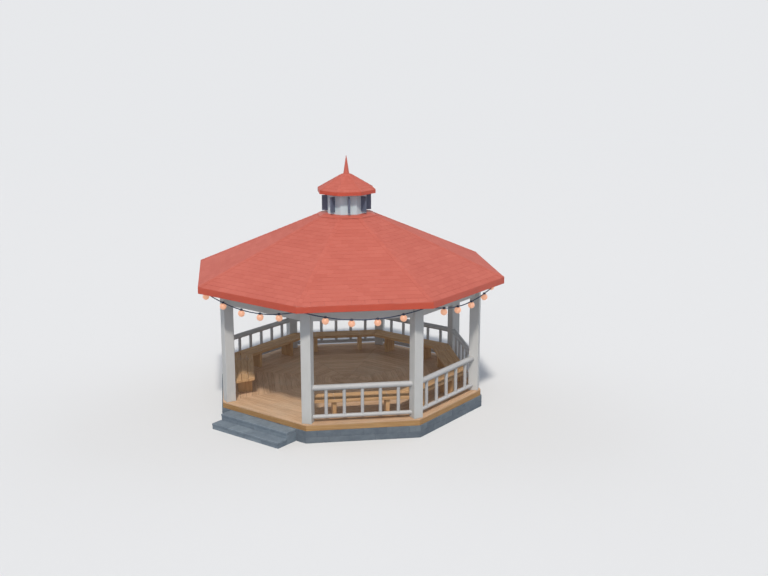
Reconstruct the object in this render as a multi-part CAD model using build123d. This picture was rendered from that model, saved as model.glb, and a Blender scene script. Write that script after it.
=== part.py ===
from build123d import *
import os
from math import cos, pi, radians, sin, sqrt, tan

# Park gazebo, millimetres, +Z up, origin on the ground at the centre of the plinth.
# The entrance faces -Y. Bay 0 faces +Y and the bays run anticlockwise, 45 degrees apart.
# Corner k lies between bay k - 1 and bay k. A radius is measured to a corner of the octagon.

# Plan
BAYS = 8
BAY_ANGLE = 360 / BAYS
ENTRANCE_BAY = 4
HALF_BAY = pi / BAYS
TO_FLAT = cos(HALF_BAY)

# Plinth, steps and deck. Each step's going is given from the top step down.
PLINTH_RADIUS = 3505
PLINTH_HEIGHT = 290
STEP_WIDTH = 2100
STEP_GOINGS = {"step_upper": 322, "step_lower": 310}
DECK_SETBACK = 31
DECK_THICKNESS = 153

# Posts, with their centres set back from the deck's corners
POST_SIZE = 235
POST_SETBACK = 179

# Railings, measured from the deck
TOP_RAIL_DIAMETER = 136
TOP_RAIL_HEIGHT = 895
BOTTOM_RAIL_DIAMETER = 97
BOTTOM_RAIL_CENTRE = 128
BALUSTER_DIAMETER = 80
BALUSTERS = 5

# Benches, with their backs set in from the line of the posts' centres
SEAT_BACK_GAP = 144
SEAT_DEPTH = 480
SEAT_HEIGHT = 468
SEAT_THICKNESS = 70
SEAT_JOINT = 2
BENCH_LEG_INSET = 377
BENCH_LEG_THICKNESS = 90
BENCH_LEG_SETBACK = 60

# Beams and wall plates between the posts
CLEAR_HEIGHT = 2425
BEAM_WIDTH = 140
BEAM_DEPTH = 347
PLATE_GAP = 105
PLATE_WIDTH = 120
PLATE_DEPTH = 110

# Roof. The overhang is measured along a hip, out from a post's centre.
ROOF_PITCH = 24.8
EAVE_OVERHANG = 705
FASCIA_DEPTH = 152
FASCIA_THICKNESS = 28
FASCIA_JOINT = 1
PANEL_DEPTH = 60
RAFTER_DEPTH = 150
HIP_RAFTER_WIDTH = 90
COMMON_RAFTER_WIDTH = 70
RAFTER_END_GAP = 0.3

# Cupola
DRUM_RADIUS = 517
DRUM_WALL = 40
DRUM_HEIGHT = 534
CURB_MARGIN = 146
CURB_LIP = 40
FIN_REACH = 139
FIN_THICKNESS = 45
FIN_BASE_GAP = 88
FIN_HEAD_GAP = 66
CUPOLA_PITCH = 31.7
CUPOLA_OVERHANG = 235
CUPOLA_EDGE = 81
SPIRE_DIAMETER = 148
SPIRE_TIP_DIAMETER = 12
SPIRE_HEIGHT = 448
SPIRE_SHOULDER = 6

# String lights, hung from clips under the hip rafters
CORD_DIAMETER = 25
CLIP_SETBACK = 178
CLIP_SIZE = 84
CLIP_COVER = 21
CLIP_GAP = 0.3
CORD_BELOW_RAFTER = 11
HOLDER_WALL = 22.5
HOLDER_CROWN = 9.5
HOLDER_SKIRT = 11.5
HOLDER_GAP = 0.3
GLOBE_DIAMETER = 160
GLOBE_NECK_DIAMETER = 101

# One swag, from clip to clip: how far out from the middle of the bay, as a share of the way
# to the clip, the height against the clips, and what hangs from the run that starts there.
SWAG = [
    (-0.982, -9, "cord"),
    (-0.864, -63, "cord"),
    (-0.725, -118, "lamp"),
    (-0.475, -194, "cord"),
    (-0.327, -223, "lamp"),
    (-0.074, -249, "cord"),
    (0.074, -249, "lamp"),
    (0.327, -223, "cord"),
    (0.475, -194, "lamp"),
    (0.725, -118, "cord"),
    (0.864, -63, "cord"),
    (0.982, -9, "end"),
]
ARC_SHARE = 0.45

# Radii and levels that follow
DECK_RADIUS = PLINTH_RADIUS - DECK_SETBACK
DECK_TOP = PLINTH_HEIGHT + DECK_THICKNESS
POST_RADIUS = DECK_RADIUS - POST_SETBACK
POST_LINE = POST_RADIUS * TO_FLAT
SEAT_BACK = POST_LINE - SEAT_BACK_GAP
SEAT_FRONT = SEAT_BACK - SEAT_DEPTH
SEAT_TOP = DECK_TOP + SEAT_HEIGHT
BEAM_BOTTOM = DECK_TOP + CLEAR_HEIGHT
BEAM_TOP = BEAM_BOTTOM + BEAM_DEPTH
PLATE_BOTTOM = BEAM_TOP + PLATE_GAP
PLATE_OUTER = POST_LINE + PLATE_WIDTH / 2
ROOF_SLOPE = tan(radians(ROOF_PITCH))
ROOF_DEPTH = PANEL_DEPTH + RAFTER_DEPTH
EAVE_RADIUS = POST_RADIUS + EAVE_OVERHANG
EAVE_FLAT = EAVE_RADIUS * TO_FLAT
EAVE_TOP = PLATE_BOTTOM + PLATE_DEPTH + ROOF_DEPTH - (EAVE_FLAT - PLATE_OUTER) * ROOF_SLOPE
FASCIA_BOTTOM = EAVE_TOP - FASCIA_DEPTH
FASCIA_BACK = EAVE_FLAT - FASCIA_THICKNESS
CURB_RADIUS = DRUM_RADIUS + CURB_MARGIN
CURB_FLAT = CURB_RADIUS * TO_FLAT
ROOF_TOP = EAVE_TOP + (EAVE_FLAT - CURB_FLAT) * ROOF_SLOPE
DRUM_FLAT = DRUM_RADIUS * TO_FLAT
DRUM_HOLE = DRUM_RADIUS - DRUM_WALL / TO_FLAT
DRUM_TOP = ROOF_TOP + DRUM_HEIGHT
CUPOLA_FLAT = (DRUM_RADIUS + CUPOLA_OVERHANG) * TO_FLAT
CUPOLA_SEAT = SPIRE_DIAMETER / 2 + SPIRE_SHOULDER
CUPOLA_TOP = DRUM_TOP + CUPOLA_EDGE + (CUPOLA_FLAT - CUPOLA_SEAT) * tan(radians(CUPOLA_PITCH))
CLIP_RADIUS = EAVE_RADIUS - CLIP_SETBACK
CLIP_SPAN = CLIP_RADIUS * sin(HALF_BAY)
HOLDER_BELOW = CORD_DIAMETER / 2 + HOLDER_SKIRT
HOLDER_HEIGHT = HOLDER_CROWN + CORD_DIAMETER + HOLDER_SKIRT
FAR = 3 * EAVE_RADIUS


def bay_angle(bay):
    """Direction that a bay faces, in degrees."""
    return 90 + BAY_ANGLE * bay


def corner_angle(corner):
    """Direction of a corner, in degrees."""
    return bay_angle(corner) - BAY_ANGLE / 2


def turned(solid, angle):
    """The solid turned about the gazebo's axis."""
    return Rot(0, 0, angle) * solid


def bar(profile, width):
    """Bar across +X, from a profile of (distance out, height) points."""
    face = make_face(Plane.XZ * Polyline(*profile, close=True))
    return extrude(face, amount=width / 2, both=True)


def block(inner, outer, bottom, top, width):
    """Upright block across +X."""
    return bar([(inner, bottom), (outer, bottom), (outer, top), (inner, top)], width)


def octagon(radius, bottom, height):
    """Upright octagonal prism."""
    sketch = RegularPolygon(radius, BAYS, rotation=BAY_ANGLE / 2)
    return Pos(0, 0, bottom) * extrude(sketch, amount=height)


def mitred(profile, joint=0):
    """Bar of that profile along the whole bay that faces +X, cut to its two corner planes."""
    tip = joint / 2 / sin(HALF_BAY)
    side = (FAR - tip) * tan(HALF_BAY)
    wedge = make_face(Polyline((tip, 0), (FAR, -side), (FAR, side), close=True))
    return bar(profile, 2 * FAR) & extrude(wedge, amount=FAR)


def roof_height(flat, below=0):
    """Height of the roof's top face at a distance out along a bay, less a depth."""
    return EAVE_TOP + (EAVE_FLAT - flat) * ROOF_SLOPE - below


def hip_height(radius, below=0):
    """Height of the roof's hip line at a distance out along a corner, less a depth."""
    return roof_height(radius * TO_FLAT, below)


def sloped(inner, outer, height, above, below):
    """Profile between two parallels to the roof line that the height function gives."""
    return [
        (inner, height(inner, below)),
        (outer, height(outer, below)),
        (outer, height(outer, above)),
        (inner, height(inner, above)),
    ]


def under_hip(inner, outer, bottom, width):
    """Upright block across a corner, its top cut to the underside of the hip rafter."""
    top = [(outer, hip_height(outer, ROOF_DEPTH)), (inner, hip_height(inner, ROOF_DEPTH))]
    return bar([(inner, bottom), (outer, bottom), *top], width)


def steps():
    """Blocks that stand on the ground against each other and the plinth, with equal risers."""
    blocks = {}
    back = PLINTH_RADIUS * TO_FLAT
    for number, (name, going) in enumerate(STEP_GOINGS.items()):
        top = PLINTH_HEIGHT * (1 - number / len(STEP_GOINGS))
        step = block(back, back + going, 0, top, STEP_WIDTH)
        blocks[name] = turned(step, bay_angle(ENTRANCE_BAY))
        back += going
    return blocks


def post(corner):
    """Square post from the deck to the underside of the hip rafter."""
    inner = POST_RADIUS - POST_SIZE / 2
    solid = under_hip(inner, inner + POST_SIZE, DECK_TOP, POST_SIZE)
    return turned(solid, corner_angle(corner))


def between_posts(solid, bay):
    """A bar across +X, turned into its bay and cut against the side faces of its two posts."""
    solid = turned(solid, bay_angle(bay))
    for corner in (bay, bay + 1):
        solid -= turned(block(0, FAR, 0, FAR, POST_SIZE), corner_angle(corner))
    return solid


def railing(bay):
    """Two round rails between the posts, with round balusters between the rails."""
    span = 2 * POST_RADIUS * sin(HALF_BAY)
    top = DECK_TOP + TOP_RAIL_HEIGHT - TOP_RAIL_DIAMETER / 2
    bottom = DECK_TOP + BOTTOM_RAIL_CENTRE
    panel = None
    for level, diameter in ((top, TOP_RAIL_DIAMETER), (bottom, BOTTOM_RAIL_DIAMETER)):
        rail = Pos(POST_LINE, 0, level) * Rot(90, 0, 0) * Cylinder(diameter / 2, span)
        panel = rail if panel is None else panel + rail
    for place in range(1, BALUSTERS + 1):
        across = span * (place / (BALUSTERS + 1) - 1 / 2)
        baluster = Cylinder(BALUSTER_DIAMETER / 2, top - bottom)
        panel += Pos(POST_LINE, across, (top + bottom) / 2) * baluster
    return between_posts(panel, bay)


def bench_seat(bay):
    """Seat across a bay, mitred to its neighbours."""
    bottom = SEAT_TOP - SEAT_THICKNESS
    profile = [(SEAT_FRONT, bottom), (SEAT_BACK, bottom), (SEAT_BACK, SEAT_TOP), (SEAT_FRONT, SEAT_TOP)]
    return turned(mitred(profile, SEAT_JOINT), bay_angle(bay))


def bench_legs(bay):
    """The two slab legs under a seat, each the same way in from the seat's front corners."""
    inner = SEAT_FRONT + BENCH_LEG_SETBACK
    outer = SEAT_BACK - BENCH_LEG_SETBACK
    leg = block(inner, outer, DECK_TOP, SEAT_TOP - SEAT_THICKNESS, BENCH_LEG_THICKNESS)
    reach = SEAT_FRONT * tan(HALF_BAY) - BENCH_LEG_INSET
    return [turned(Pos(0, across, 0) * leg, bay_angle(bay)) for across in (-reach, reach)]


def eaves_beam(bay):
    """Beam over the bay's opening."""
    inner = POST_LINE - BEAM_WIDTH / 2
    outer = POST_LINE + BEAM_WIDTH / 2
    profile = [(inner, BEAM_BOTTOM), (outer, BEAM_BOTTOM), (outer, BEAM_TOP), (inner, BEAM_TOP)]
    return between_posts(mitred(profile), bay)


def wall_plate(bay):
    """Plate between the post heads, its top cut to the slope of the common rafter it carries."""
    inner = PLATE_OUTER - PLATE_WIDTH
    profile = [
        (inner, PLATE_BOTTOM),
        (PLATE_OUTER, PLATE_BOTTOM),
        (PLATE_OUTER, roof_height(PLATE_OUTER, ROOF_DEPTH)),
        (inner, roof_height(inner, ROOF_DEPTH)),
    ]
    return between_posts(mitred(profile), bay)


def rafter(profile, width):
    """Rafter across +X, its tail cut level with the lower edge of the fascia."""
    return bar(profile, width) - block(0, FAR, 0, FASCIA_BOTTOM, width)


def hip_rafter(corner):
    """Rafter along a hip, its top backed so that both roof panels lie flat on it."""
    half_width = HIP_RAFTER_WIDTH / 2
    end = (FASCIA_BACK - half_width * sin(HALF_BAY)) / TO_FLAT - RAFTER_END_GAP
    profile = sloped(CURB_RADIUS, end, hip_height, PANEL_DEPTH, ROOF_DEPTH)
    blank = turned(rafter(profile, HIP_RAFTER_WIDTH), corner_angle(corner))
    core = [(0, 0), (FAR, 0), (FAR, roof_height(FAR, PANEL_DEPTH)), (0, roof_height(0, PANEL_DEPTH))]
    halves = [blank & turned(mitred(core), bay_angle(bay)) for bay in (corner - 1, corner)]
    return halves[0] + halves[1]


def common_rafter(bay):
    """Rafter up the middle of a bay, from the fascia to the curb."""
    end = FASCIA_BACK - RAFTER_END_GAP
    profile = sloped(CURB_FLAT, end, roof_height, PANEL_DEPTH, ROOF_DEPTH)
    return turned(rafter(profile, COMMON_RAFTER_WIDTH), bay_angle(bay))


def roof_panel(bay):
    """One slope of the roof, mitred along both hips and plumb at both ends."""
    profile = sloped(CURB_FLAT, FASCIA_BACK, roof_height, 0, PANEL_DEPTH)
    return turned(mitred(profile), bay_angle(bay))


def fascia_board(bay):
    """Board that closes the eave, its top edge in line with the roof."""
    profile = [
        (FASCIA_BACK, FASCIA_BOTTOM),
        (EAVE_FLAT, FASCIA_BOTTOM),
        (EAVE_FLAT, EAVE_TOP),
        (FASCIA_BACK, roof_height(FASCIA_BACK)),
    ]
    return turned(mitred(profile, FASCIA_JOINT), bay_angle(bay))


def cupola_curb():
    """Octagonal ring that the roof frame meets and the cupola stands on."""
    bottom = hip_height(CURB_RADIUS, ROOF_DEPTH)
    depth = ROOF_TOP - bottom
    return octagon(CURB_RADIUS, bottom, depth) - octagon(DRUM_HOLE - CURB_LIP, bottom, depth)


def cupola_drum():
    """Octagonal wall of the cupola, open below."""
    return octagon(DRUM_RADIUS, ROOF_TOP, DRUM_HEIGHT) - octagon(DRUM_HOLE, ROOF_TOP, DRUM_HEIGHT)


def cupola_fin(bay):
    """Upright fin that stands out from the middle of one face of the drum."""
    bottom = ROOF_TOP + FIN_BASE_GAP
    top = DRUM_TOP - FIN_HEAD_GAP
    fin = block(DRUM_FLAT, DRUM_FLAT + FIN_REACH, bottom, top, FIN_THICKNESS)
    return turned(fin, bay_angle(bay))


def cupola_roof():
    """Small octagonal roof with an upright edge and a flat seat for the spire."""
    edge_top = DRUM_TOP + CUPOLA_EDGE
    profile = [
        (0, DRUM_TOP),
        (CUPOLA_FLAT, DRUM_TOP),
        (CUPOLA_FLAT, edge_top),
        (CUPOLA_SEAT, CUPOLA_TOP),
        (0, CUPOLA_TOP),
    ]
    slope = mitred(profile)
    roof = turned(slope, bay_angle(0))
    for bay in range(1, BAYS):
        roof += turned(slope, bay_angle(bay))
    return roof


def spire():
    """Slender cone on the cupola."""
    cone = Cone(SPIRE_DIAMETER / 2, SPIRE_TIP_DIAMETER / 2, SPIRE_HEIGHT)
    return Pos(0, 0, CUPOLA_TOP + SPIRE_HEIGHT / 2) * cone


def swag_points():
    """The route of the swag in the bay that faces +X."""
    level = hip_height(CLIP_RADIUS, ROOF_DEPTH) - CORD_BELOW_RAFTER
    return [Vector(CLIP_RADIUS * TO_FLAT, share * CLIP_SPAN, level + height) for share, height, _ in SWAG]


def swag_arcs(points):
    """Length of each run, and the largest tangent arc that the runs beside each point allow."""
    runs = [after - before for before, after in zip(points, points[1:])]
    radii = []
    for before, after in zip(runs, runs[1:]):
        shorter = min(before.length, after.length)
        radii.append(ARC_SHARE * shorter / tan(radians(before.get_angle(after) / 2)))
    return [run.length for run in runs], radii


def light_cord(points, radii):
    """One swag of cord in the bay that faces +X, and the length of its centreline."""
    path = FilletPolyline(*points, radius=radii)
    section = Plane(path @ 0, z_dir=path % 0) * Circle(CORD_DIAMETER / 2)
    return sweep(section, path=path), path.length


def light_clip(corner, points):
    """Block under the end of a hip rafter, with a socket for the end of each swag beside it."""
    inner = CLIP_RADIUS - CLIP_SIZE / 2
    bottom = points[0].Z - CLIP_COVER
    clip = turned(under_hip(inner, inner + CLIP_SIZE, bottom, CLIP_SIZE), corner_angle(corner))
    end = Plane(points[0], z_dir=points[1] - points[0])
    socket = end * extrude(Circle(CORD_DIAMETER / 2 + CLIP_GAP), amount=CLIP_SIZE)
    clip -= turned(socket, bay_angle(corner))
    return clip - turned(mirror(socket, about=Plane.XZ), bay_angle(corner - 1))


def lamp_runs(points):
    """Start and end of each run that carries a lamp."""
    runs = zip(SWAG, points, points[1:])
    return [(start, end) for (_, _, load), start, end in runs if load == "lamp"]


def lamp_holder(start, end):
    """Upright collar in the middle of a run, with a bore for the cord."""
    middle = (start + end) / 2
    centre = middle.Z - HOLDER_BELOW + HOLDER_HEIGHT / 2
    collar = Cylinder(CORD_DIAMETER / 2 + HOLDER_WALL, HOLDER_HEIGHT)
    bore = Cylinder(CORD_DIAMETER / 2 + HOLDER_GAP, 2 * (CORD_DIAMETER + 2 * HOLDER_WALL))
    return Pos(middle.X, middle.Y, centre) * collar - Plane(middle, z_dir=end - start) * bore


def lamp_globe(start, end):
    """Round globe whose flat neck meets its holder."""
    middle = (start + end) / 2
    radius = GLOBE_DIAMETER / 2
    neck = sqrt(radius**2 - (GLOBE_NECK_DIAMETER / 2) ** 2)
    ball = Sphere(radius) - Pos(0, 0, neck + radius) * Box(2 * radius, 2 * radius, 2 * radius)
    return Pos(middle.X, middle.Y, middle.Z - HOLDER_BELOW - neck) * ball


def all_bays(solids):
    """Copies of what hangs in the bay that faces +X, one set for each bay."""
    return [turned(solid, bay_angle(bay)) for bay in range(BAYS) for solid in solids]


def save(name, *shapes):
    """Write one node."""
    solids = [solid for shape in shapes for solid in shape.solids()]
    node = solids[0] if len(solids) == 1 else Compound(children=solids)
    export_step(node, f"parts/{name}.step")


def main():
    os.makedirs("parts", exist_ok=True)
    bays = range(BAYS)
    railed = [bay for bay in bays if bay != ENTRANCE_BAY]

    save("plinth", octagon(PLINTH_RADIUS, 0, PLINTH_HEIGHT))
    save("deck", octagon(DECK_RADIUS, PLINTH_HEIGHT, DECK_THICKNESS))
    for name, step in steps().items():
        save(name, step)
    for corner in bays:
        save(f"post_{corner + 1}", post(corner))
    for number, bay in enumerate(railed, start=1):
        save(f"railing_{number}", railing(bay))
        save(f"bench_seat_{number}", bench_seat(bay))
    save("bench_legs", *[leg for bay in railed for leg in bench_legs(bay)])

    save("eaves_beams", *[eaves_beam(bay) for bay in bays])
    save("wall_plates", *[wall_plate(bay) for bay in bays])
    save("hip_rafters", *[hip_rafter(corner) for corner in bays])
    save("common_rafters", *[common_rafter(bay) for bay in bays])
    for bay in bays:
        save(f"roof_panel_{bay + 1}", roof_panel(bay))
    save("fascia_boards", *[fascia_board(bay) for bay in bays])

    save("cupola_curb", cupola_curb())
    save("cupola_drum", cupola_drum())
    save("cupola_fins", *[cupola_fin(bay) for bay in bays])
    save("cupola_roof", cupola_roof())
    save("spire", spire())

    points = swag_points()
    runs, radii = swag_arcs(points)
    cord, length = light_cord(points, radii)
    for bay in bays:
        save(f"light_cord_{bay + 1}", turned(cord, bay_angle(bay)))
    save("light_clips", *[light_clip(corner, points) for corner in bays])
    lamps = lamp_runs(points)
    save("lamp_holders", *all_bays([lamp_holder(*run) for run in lamps]))
    save("lamp_globes", *all_bays([lamp_globe(*run) for run in lamps]))

    print("cord runs", [round(run) for run in runs])
    print("cord radii", [round(radius) for radius in radii])
    print("cord length", round(length, 1), "volume", round(cord.volume))
    print("section times length", round(pi * CORD_DIAMETER**2 / 4 * length))


main()
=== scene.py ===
# %% [markdown]
# # A park gazebo, from bare solids to a finished building
#
# The gazebo comes from a CAD program as plain solids, in metres. Its axis stands on the origin,
# the ground is at height 0, and the entrance faces -Y. The solids settle every size and place.
# Blender adds what they leave out: stones, boards, shingles, lamps, and a finish for each.
# Loading the solids first means that every new piece can take its place from them.

# %% Load the solids
from math import cos, pi, radians, sin, tan

import bpy
import numpy as np
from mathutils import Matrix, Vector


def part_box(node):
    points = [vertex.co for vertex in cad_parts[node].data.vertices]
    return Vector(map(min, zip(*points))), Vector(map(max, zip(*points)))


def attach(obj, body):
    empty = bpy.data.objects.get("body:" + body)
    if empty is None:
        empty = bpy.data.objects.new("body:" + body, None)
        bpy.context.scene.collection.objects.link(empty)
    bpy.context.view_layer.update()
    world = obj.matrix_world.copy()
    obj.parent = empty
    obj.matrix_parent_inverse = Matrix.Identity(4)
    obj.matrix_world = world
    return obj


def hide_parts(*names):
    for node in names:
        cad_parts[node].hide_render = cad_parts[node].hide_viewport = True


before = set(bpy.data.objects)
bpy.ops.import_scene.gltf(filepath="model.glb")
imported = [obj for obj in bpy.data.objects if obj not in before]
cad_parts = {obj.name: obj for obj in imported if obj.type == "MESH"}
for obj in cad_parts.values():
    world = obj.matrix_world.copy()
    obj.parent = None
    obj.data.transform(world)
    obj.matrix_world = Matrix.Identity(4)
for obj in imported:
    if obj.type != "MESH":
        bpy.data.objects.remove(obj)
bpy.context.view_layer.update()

# %% [markdown]
# ## The camera
#
# The camera stands where the photographer stood, so that the render and the photograph can be
# laid over each other. The place was found by matching the corners of the roof, the plinth and
# the posts. A bearing and a distance from the gazebo's axis are easier to read than x and y.

# %% Stand the camera
CAMERA_BEARING = 308.79
CAMERA_DISTANCE = 26.402
CAMERA_HEIGHT = 9.213
CAMERA_HEADING = 126.76
CAMERA_DIP = 13.535
CAMERA_LENS = 50
SENSOR_WIDTH = 36


def new_object(name, data):
    """Object in the scene, at the origin, that shows the data."""
    shown = bpy.data.objects.new(name, data)
    bpy.context.collection.objects.link(shown)
    return shown


camera = new_object("camera", bpy.data.cameras.new("camera"))
camera.data.lens = CAMERA_LENS
camera.data.sensor_width = SENSOR_WIDTH
bearing = radians(CAMERA_BEARING)
camera.location = (CAMERA_DISTANCE * cos(bearing), CAMERA_DISTANCE * sin(bearing), CAMERA_HEIGHT)
camera.rotation_euler = (radians(90 - CAMERA_DIP), 0, radians(CAMERA_HEADING - 90))
bpy.context.scene.camera = camera
print("camera at", [round(x, 2) for x in camera.location])

# %% [markdown]
# ## The octagon
#
# Everything on the gazebo is made for one bay and turned round the axis eight times. A bay's own
# frame has x out of the building, y across the bay and z up. In that frame the two corners of
# the bay lie on the lines y = x tan(22.5) and y = -x tan(22.5), which are its mitre lines.
# Most sizes are read back from the solids, so that a changed solid takes its pieces with it.

# %% Sizes that the solids give
SIDES = 8
HALF_BAY = pi / SIDES
TO_FLAT = cos(HALF_BAY)
MITRE = tan(HALF_BAY)
BAY_ANGLES = 90 + 45 * np.arange(SIDES)
CORNER_ANGLES = BAY_ANGLES - 22.5
ENTRANCE_BAY = 4
RAILED_BAYS = [bay for bay in range(SIDES) if bay != ENTRANCE_BAY]


def reach(node):
    """How far out a ring of eight bays goes along the bay that faces +X."""
    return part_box(node)[1][0]


def top(node):
    """Highest point of a node."""
    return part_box(node)[1][2]


def bottom(node):
    """Lowest point of a node."""
    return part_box(node)[0][2]


ROOF_SLOPE = tan(radians(24.8))
FASCIA_DEPTH = 0.152
FASCIA_THICKNESS = 0.028
ROOF_FRAME_DEPTH = 0.210
EAVE_FLAT = reach("fascia_boards")
EAVE_LOW = bottom("fascia_boards")
EAVE_TOP = EAVE_LOW + FASCIA_DEPTH


def roof_height(flat):
    """Height of the roof's top face: the eave's height, and the slope times the way in from it."""
    return EAVE_TOP + (EAVE_FLAT - flat) * ROOF_SLOPE


def turned(points, degrees):
    """Points turned about the gazebo's axis: x cos - y sin, x sin + y cos, z."""
    angle = np.radians(degrees)
    turn = np.array([[np.cos(angle), -np.sin(angle), 0], [np.sin(angle), np.cos(angle), 0], [0, 0, 1]])
    return points @ turn.T


def everywhere(points, angles):
    """The points of one bay, in every bay or at every corner that the angles give."""
    return np.concatenate([turned(points, angle) for angle in angles])


print("eave at", round(EAVE_FLAT, 4), "out and", round(EAVE_TOP, 4), "up")

# %% [markdown]
# ## The string lights' cords
#
# A cord of string lights hangs across each bay, from a clip under one hip rafter to the clip
# under the next. A real cord hangs in a smooth curve, a little steeper at its ends, and each
# lamp pulls it down a little. A curve object suits it: its control points pull a smooth spline
# down into the swag, and a bevel of 1 times each point's radius gives it the thickness of a
# rubber cord. A mesh tube would do as well, but a curve's real length is easy to measure.

# %% Hang one cord in each bay
CORD_DIAMETER = 0.025
CLIP_RADIUS = 3.822
CORD_BELOW_RAFTER = 0.011
HALF_SWAG = [
    (-0.982, -0.009),
    (-0.864, -0.063),
    (-0.725, -0.118),
    (-0.475, -0.194),
    (-0.327, -0.223),
    (-0.074, -0.249),
]
LAMP_RUNS = [2, 4, 6, 8]

clip_level = roof_height(CLIP_RADIUS * TO_FLAT) - ROOF_FRAME_DEPTH - CORD_BELOW_RAFTER
clip_span = CLIP_RADIUS * sin(HALF_BAY)
swag_shape = HALF_SWAG + [(-share, low) for share, low in reversed(HALF_SWAG)]
swag = np.array([(CLIP_RADIUS * TO_FLAT, share * clip_span, clip_level + low) for share, low in swag_shape])


def hang_cord(name, points):
    """Smooth curve that starts and ends at the first and last point and is drawn to the others."""
    curve = bpy.data.curves.new(name, "CURVE")
    curve.dimensions = "3D"
    spline = curve.splines.new("NURBS")
    spline.points.add(len(points) - 1)
    spline.points.foreach_set("co", np.column_stack([points, np.ones(len(points))]).ravel())
    spline.points.foreach_set("radius", np.full(len(points), CORD_DIAMETER / 2))
    spline.order_u = 3
    spline.use_endpoint_u = True
    spline.resolution_u = 12
    curve.bevel_depth = 1
    curve.bevel_resolution = 3
    curve.use_fill_caps = True
    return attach(new_object(name, curve), "root")


cords = []
for bay, angle in enumerate(BAY_ANGLES):
    cord = hang_cord(f"swag_cord_{bay + 1}", turned(swag, angle))
    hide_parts(f"light_cord_{bay + 1}")
    cords.append(cord)
print("cords:", len(cords), "hung from", round(clip_level, 3), "m, lowest", round(swag[:, 2].min(), 3), "m")

# %% [markdown]
# ## Floor, daylight and backdrop
#
# A plain pale floor and a plain pale backdrop leave the building to speak for itself. One sun
# lamp, a little wider than the real sun, comes from where the photograph's shadows say, which is
# from the camera's side, over half way up the sky. The backdrop's own light fills the shade, but
# little of it gets under the roof. Three weak, wide lamps that cast no shadow light the inside as
# evenly as the photograph shows it. The floor fades into the backdrop with the way from the axis,
# so there is no hard horizon, and it throws back less light than it shows, as darker ground does.

# %% Build the stage
FLOOR_RADIUS = 400
FLOOR_RINGS = 5
FLOOR_SIDES = 96
FADE_START = 16
FADE_END = 70
PALE = (0.80, 0.81, 0.83, 1)
FLOOR_COLOUR = (0.722, 0.708, 0.682, 1)
FLOOR_BOUNCE = (0.34, 0.345, 0.355, 1)
SUN_BEARING = 306
SUN_ELEVATION = 52
SUN_STRENGTH = 2.6
SUN_ANGLE = 5
SUN_COLOUR = (1.01, 0.975, 0.93)
SKY_STRENGTH = 0.30
SKY_COLOUR = (0.86, 0.965, 1.15)
FILL_LAMPS = 3
FILL_ELEVATION = 20
FILL_STRENGTH = 0.70
FILL_ANGLE = 60


def add_node(tree, kind, inputs=None, **settings):
    """New shader node with its settings. An input is a value, or the socket that feeds it."""
    node = tree.nodes.new("ShaderNode" + kind)
    for name, value in settings.items():
        setattr(node, name, value)
    for name, value in (inputs or {}).items():
        if isinstance(value, bpy.types.NodeSocket):
            tree.links.new(value, node.inputs[name])
        else:
            node.inputs[name].default_value = value
    return node


def combined(tree, operation, first, second):
    """Two values in one Math node."""
    return add_node(tree, "Math", {0: first, 1: second}, operation=operation).outputs[0]


def seen_directly(tree):
    """1 for what the camera sees itself, in a mirror or through glass, and 0 for light."""
    path = add_node(tree, "LightPath")
    seen = combined(tree, "MAXIMUM", path.outputs["Is Camera Ray"], path.outputs["Is Glossy Ray"])
    return combined(tree, "MAXIMUM", seen, path.outputs["Is Transmission Ray"])


def circle(sides):
    """Cosine and sine of evenly spaced turns."""
    turn = np.linspace(0, 2 * pi, sides, endpoint=False)
    return np.cos(turn), np.sin(turn)


def ring_quads(rings, sides, start):
    """Quads between neighbouring rings of points, which are numbered from start, ring after ring."""
    here = start + np.arange(sides)
    after = np.roll(here, -1)
    steps = sides * np.arange(rings - 1)[:, None]
    quads = np.stack([here + steps, after + steps, after + steps + sides, here + steps + sides], axis=2)
    return quads.reshape(-1, 4)


def disc(radius, rings, sides):
    """Flat disc: the middle, then rings whose radius grows with the square of their number."""
    x, y = circle(sides)
    radii = radius * (np.arange(1, rings + 1) / rings) ** 2
    ring = np.stack([np.outer(radii, x), np.outer(radii, y), np.zeros((rings, sides))], axis=2)
    vertices = np.concatenate([[[0, 0, 0]], ring.reshape(-1, 3)])
    here = 1 + np.arange(sides)
    middle = np.stack([0 * here, here, np.roll(here, -1)], axis=1)
    return vertices, middle.tolist() + ring_quads(rings, sides, 1)[:, ::-1].tolist()


def stage_floor():
    """Disc that reaches past the view, with a finish that turns into the backdrop far out."""
    mesh = bpy.data.meshes.new("floor")
    vertices, faces = disc(FLOOR_RADIUS, FLOOR_RINGS, FLOOR_SIDES)
    mesh.from_pydata(vertices.tolist(), [], faces)
    material = bpy.data.materials.new("floor")
    material.use_nodes = True
    tree = material.node_tree
    seen = seen_directly(tree)
    look = add_node(tree, "Mix", {0: seen, 6: FLOOR_BOUNCE, 7: FLOOR_COLOUR}, data_type="RGBA")
    shader = add_node(tree, "BsdfDiffuse", {"Color": look.outputs[2]})
    place = add_node(tree, "TexCoord")
    away = add_node(tree, "VectorMath", {0: place.outputs["Object"]}, operation="LENGTH")
    fade = add_node(tree, "MapRange", {"Value": away.outputs["Value"], "From Min": FADE_START,
                                       "From Max": FADE_END}, interpolation_type="SMOOTHSTEP")
    share = combined(tree, "MULTIPLY", fade.outputs[0], seen)
    glow = add_node(tree, "Emission", {"Color": PALE, "Strength": 1.0})
    blend = add_node(tree, "MixShader", {0: share, 1: shader.outputs[0], 2: glow.outputs[0]})
    tree.links.new(blend.outputs[0], tree.nodes["Material Output"].inputs["Surface"])
    mesh.materials.append(material)
    new_object("floor", mesh)


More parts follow.
